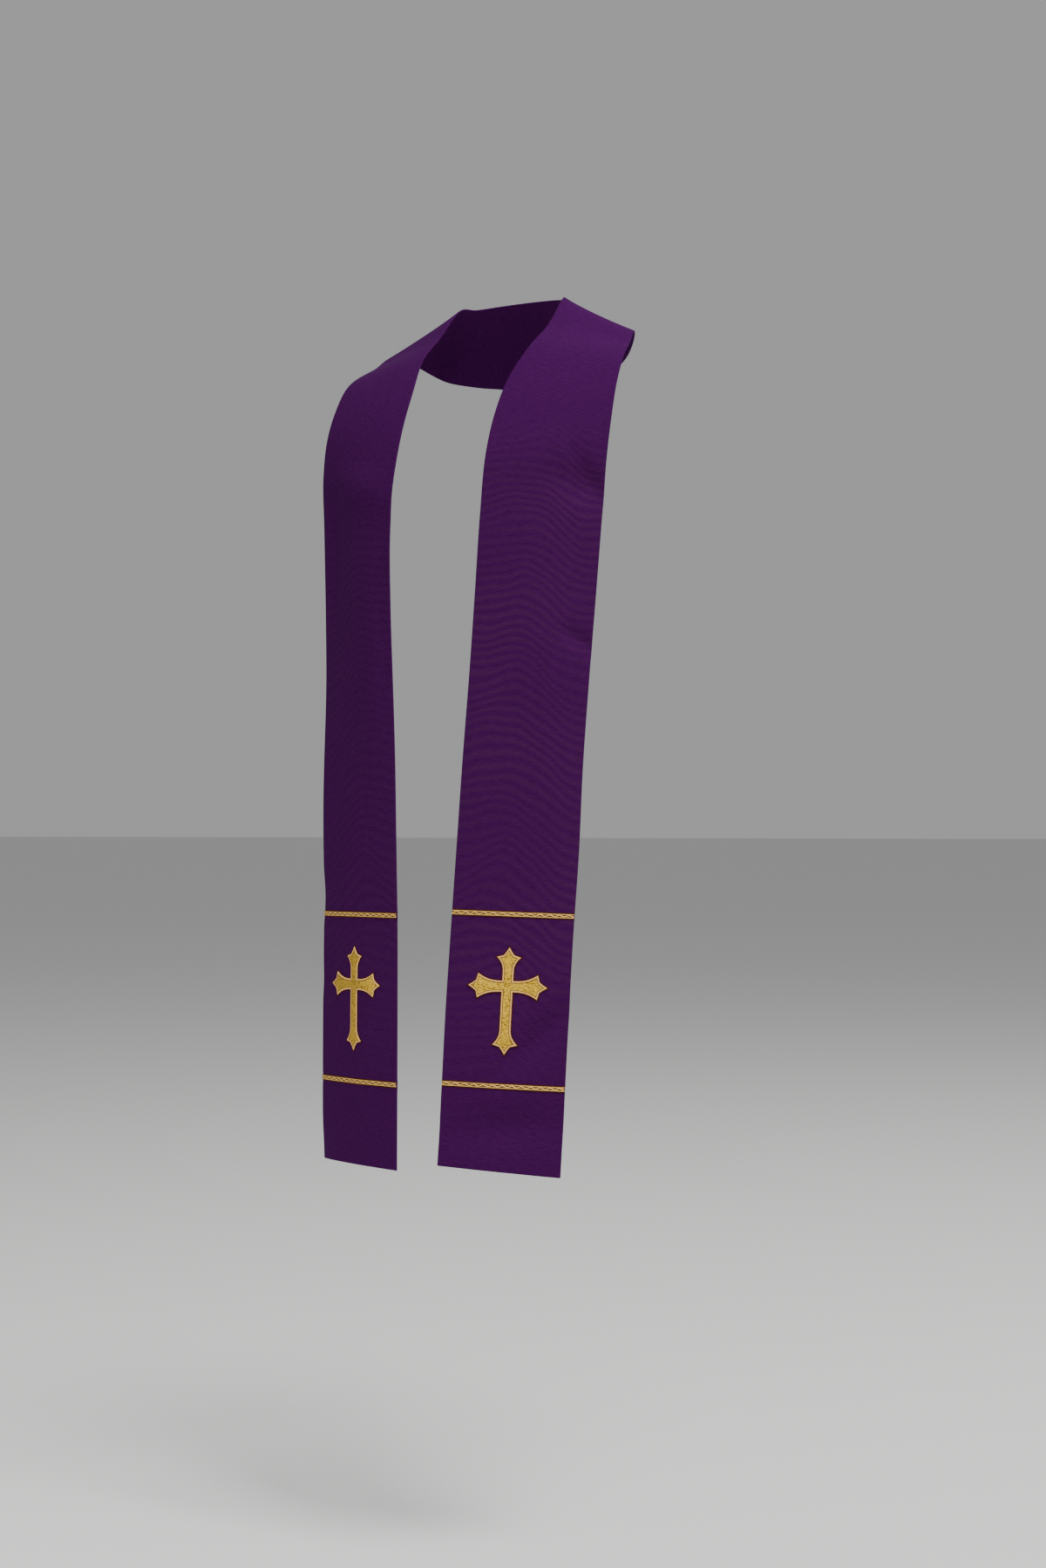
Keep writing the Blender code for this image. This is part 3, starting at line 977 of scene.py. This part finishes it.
def makeCrossPattern():
    # One cross, flat, that both are copied from.
    outline = drawFlatCross()
    loop = outlineLoop(outline)
    piece = copyOf(outline, "crossPattern")
    # Pushed out past the cross's edge: a dark rim that is stitching and painted shadow.
    pushOut(outline, cross["outlineAndShadowWidth"])
    thicken(outline, cross["outlineThickness"])
    outline.data.materials.append(outlineThreadAndShadow)

    thicken(piece, cross["edgeThickness"])
    for material in (satinBorder, goldGroove, goldFill):
        piece.data.materials.append(material)
    bpy.ops.object.mode_set(mode="EDIT")
    top = cross["edgeThickness"] / 2
    pickFaces(piece, lambda face: face.normal.z > 0.5 and face.calc_center_median().z > top)
    for slot, steps in ((1, cross["satinSteps"]), (2, cross["grooveSteps"])):
        for thickness, depth in steps:
            bpy.ops.mesh.inset(thickness=thickness, depth=depth, use_even_offset=True)
        piece.active_material_index = slot
        bpy.ops.object.material_slot_assign()
    bpy.ops.object.mode_set(mode="OBJECT")

    for part in (outline, piece):
        applyModifier(part, "finer", "SUBSURF", subdivision_type="SIMPLE",
                      levels=cross["fineness"], render_levels=cross["fineness"])
        part.data.shade_smooth()
        part.data.set_sharp_from_angle(angle=math.radians(cross["sharpAngle"]))
    whole = joined([piece, outline], "crossPattern")
    keepFlatPlaces(whole)
    names = [material.name for material in whole.data.materials]
    followed = (satinBorder.name, goldGroove.name, outlineThreadAndShadow.name)
    followOutline(whole, loop, [names.index(name) for name in followed])
    return whole


def makeCrosses():
    pattern = makeCrossPattern()
    crosses = {}
    for side, hang in hangs.items():
        piece = copyOf(pattern, f"crossEmbroidery_{side}")
        run = hemRun - cross["height"]
        layOn(piece, side, run, hang.crossAcross, sectionAt(run).width)
        crosses[side] = dress(piece, f"cross_{side}")
    print("crosses embroidered:", len(pattern.data.polygons), "faces each")
    bpy.data.objects.remove(pattern)
    return crosses


# Stitching draws the cloth in beside each braid.
pull = {
    "depth": 0.00035,
    "spread": 0.0028,
    "reach": 0.0084,           # from the braid's edge, past which it isn't felt
    "unevenness": 0.5,
    "puckerLength": 0.011,
    "betweenBraids": 0.020,    # so that each braid's puckers are its own
}


def sewnPull(side, run, across, width):
    total = 0.0
    for height in braid["heights"].values():
        fromEdge = abs(run - (hemRun - height)) - braid["width"] / 2
        if abs(fromEdge) < pull["reach"]:
            place = Vector((across * width / pull["puckerLength"],
                            height / pull["betweenBraids"], hangs[side].mirror))
            depth = pull["depth"] * (1 + pull["unevenness"] * noise.noise(place))
            total -= depth * math.exp(-(fromEdge / pull["spread"]) ** 2)
    return total


braids = makeBraids()
crosses = makeCrosses()
makeYoke()
for side in hangs:
    makeFront(side)

# Camera a little below the waist, level, and 31 degrees round to the wearer's left

view = {
    "azimuth": 31.0,
    "distance": 3.371,
    "aside": 0.0112,     # how far its line passes to the right of the nape, and in front of it
    "forward": 0.036,
    "height": -0.683,
    "lens": 60.03,       # in millimetres, as the sensor is
    "sensor": 36.0,
    "shift": 0.0281,
}


def directionTo(azimuth):
    # Level, and turned from straight ahead of the wearer towards their left.
    angle = math.radians(azimuth)
    return Vector((math.sin(angle), -math.cos(angle), 0.0))


def addCamera():
    towards = directionTo(view["azimuth"])
    right = Vector((-towards.y, towards.x, 0.0))
    spot = towards * view["distance"] + right * view["aside"]
    spot += Vector((0.0, -view["forward"], view["height"]))
    bpy.ops.object.camera_add(location=spot,
                              rotation=(math.pi / 2, 0.0, math.radians(view["azimuth"])))
    camera = bpy.context.object
    camera.data.sensor_fit = "VERTICAL"
    camera.data.sensor_height = view["sensor"]
    camera.data.lens = view["lens"]
    camera.data.shift_y = view["shift"]
    bpy.context.scene.camera = camera


# Plain pale floor and soft studio light

Lamp = namedtuple("Lamp", "azimuth height distance size power")
studio = {
    "floorLevel": -1.57,
    "floorSize": 400.0,
    "floorColour": "#E0E0DE",
    "floorRoughness": 0.9,
    "worldColour": "#F4F4F6",
    "worldStrength": 0.40,
    "lampTarget": (0.0, -0.15, -0.55),
    "lamps": (
        Lamp(66.0, 4.9, 2.85, 2.2, 425.0),    # key, high on the camera's right
        Lamp(47.0, 5.0, 2.95, 2.2, 135.0),    # from above the camera
        Lamp(3.0, -0.85, 3.0, 1.3, 6.5),      # low in front, mirrored in the near gold
        Lamp(-30.0, -1.15, 1.6, 0.7, 4.0),    # low fill from the left
        Lamp(150.0, 3.0, 5.0, 3.0, 60.0),     # back, high, for the edges and the yoke
    ),
}


def addStudio():
    bpy.ops.mesh.primitive_plane_add(size=studio["floorSize"],
                                     location=(0.0, 0.0, studio["floorLevel"]))
    floor = bpy.context.object
    floor.name = "studioFloor"
    bpy.ops.object.transform_apply(location=True)
    paper, shader = newMaterial("palePaper", {
        "Base Color": colour(studio["floorColour"]), "Roughness": studio["floorRoughness"]})
    floor.data.materials.append(paper)
    world = bpy.data.worlds.new("studioWorld")
    world.use_nodes = True
    background = world.node_tree.nodes["Background"]
    background.inputs["Color"].default_value = colour(studio["worldColour"])
    background.inputs["Strength"].default_value = studio["worldStrength"]
    bpy.context.scene.world = world
    target = Vector(studio["lampTarget"])
    for lamp in studio["lamps"]:
        spot = directionTo(lamp.azimuth) * lamp.distance + Vector((0.0, 0.0, lamp.height))
        bpy.ops.object.light_add(type="AREA", location=spot)
        light = bpy.context.object
        light.rotation_euler = (target - spot).to_track_quat("-Z", "Y").to_euler()
        light.data.size = lamp.size
        light.data.energy = lamp.power
        light.visible_camera = False


addCamera()
addStudio()
print("camera and studio set")
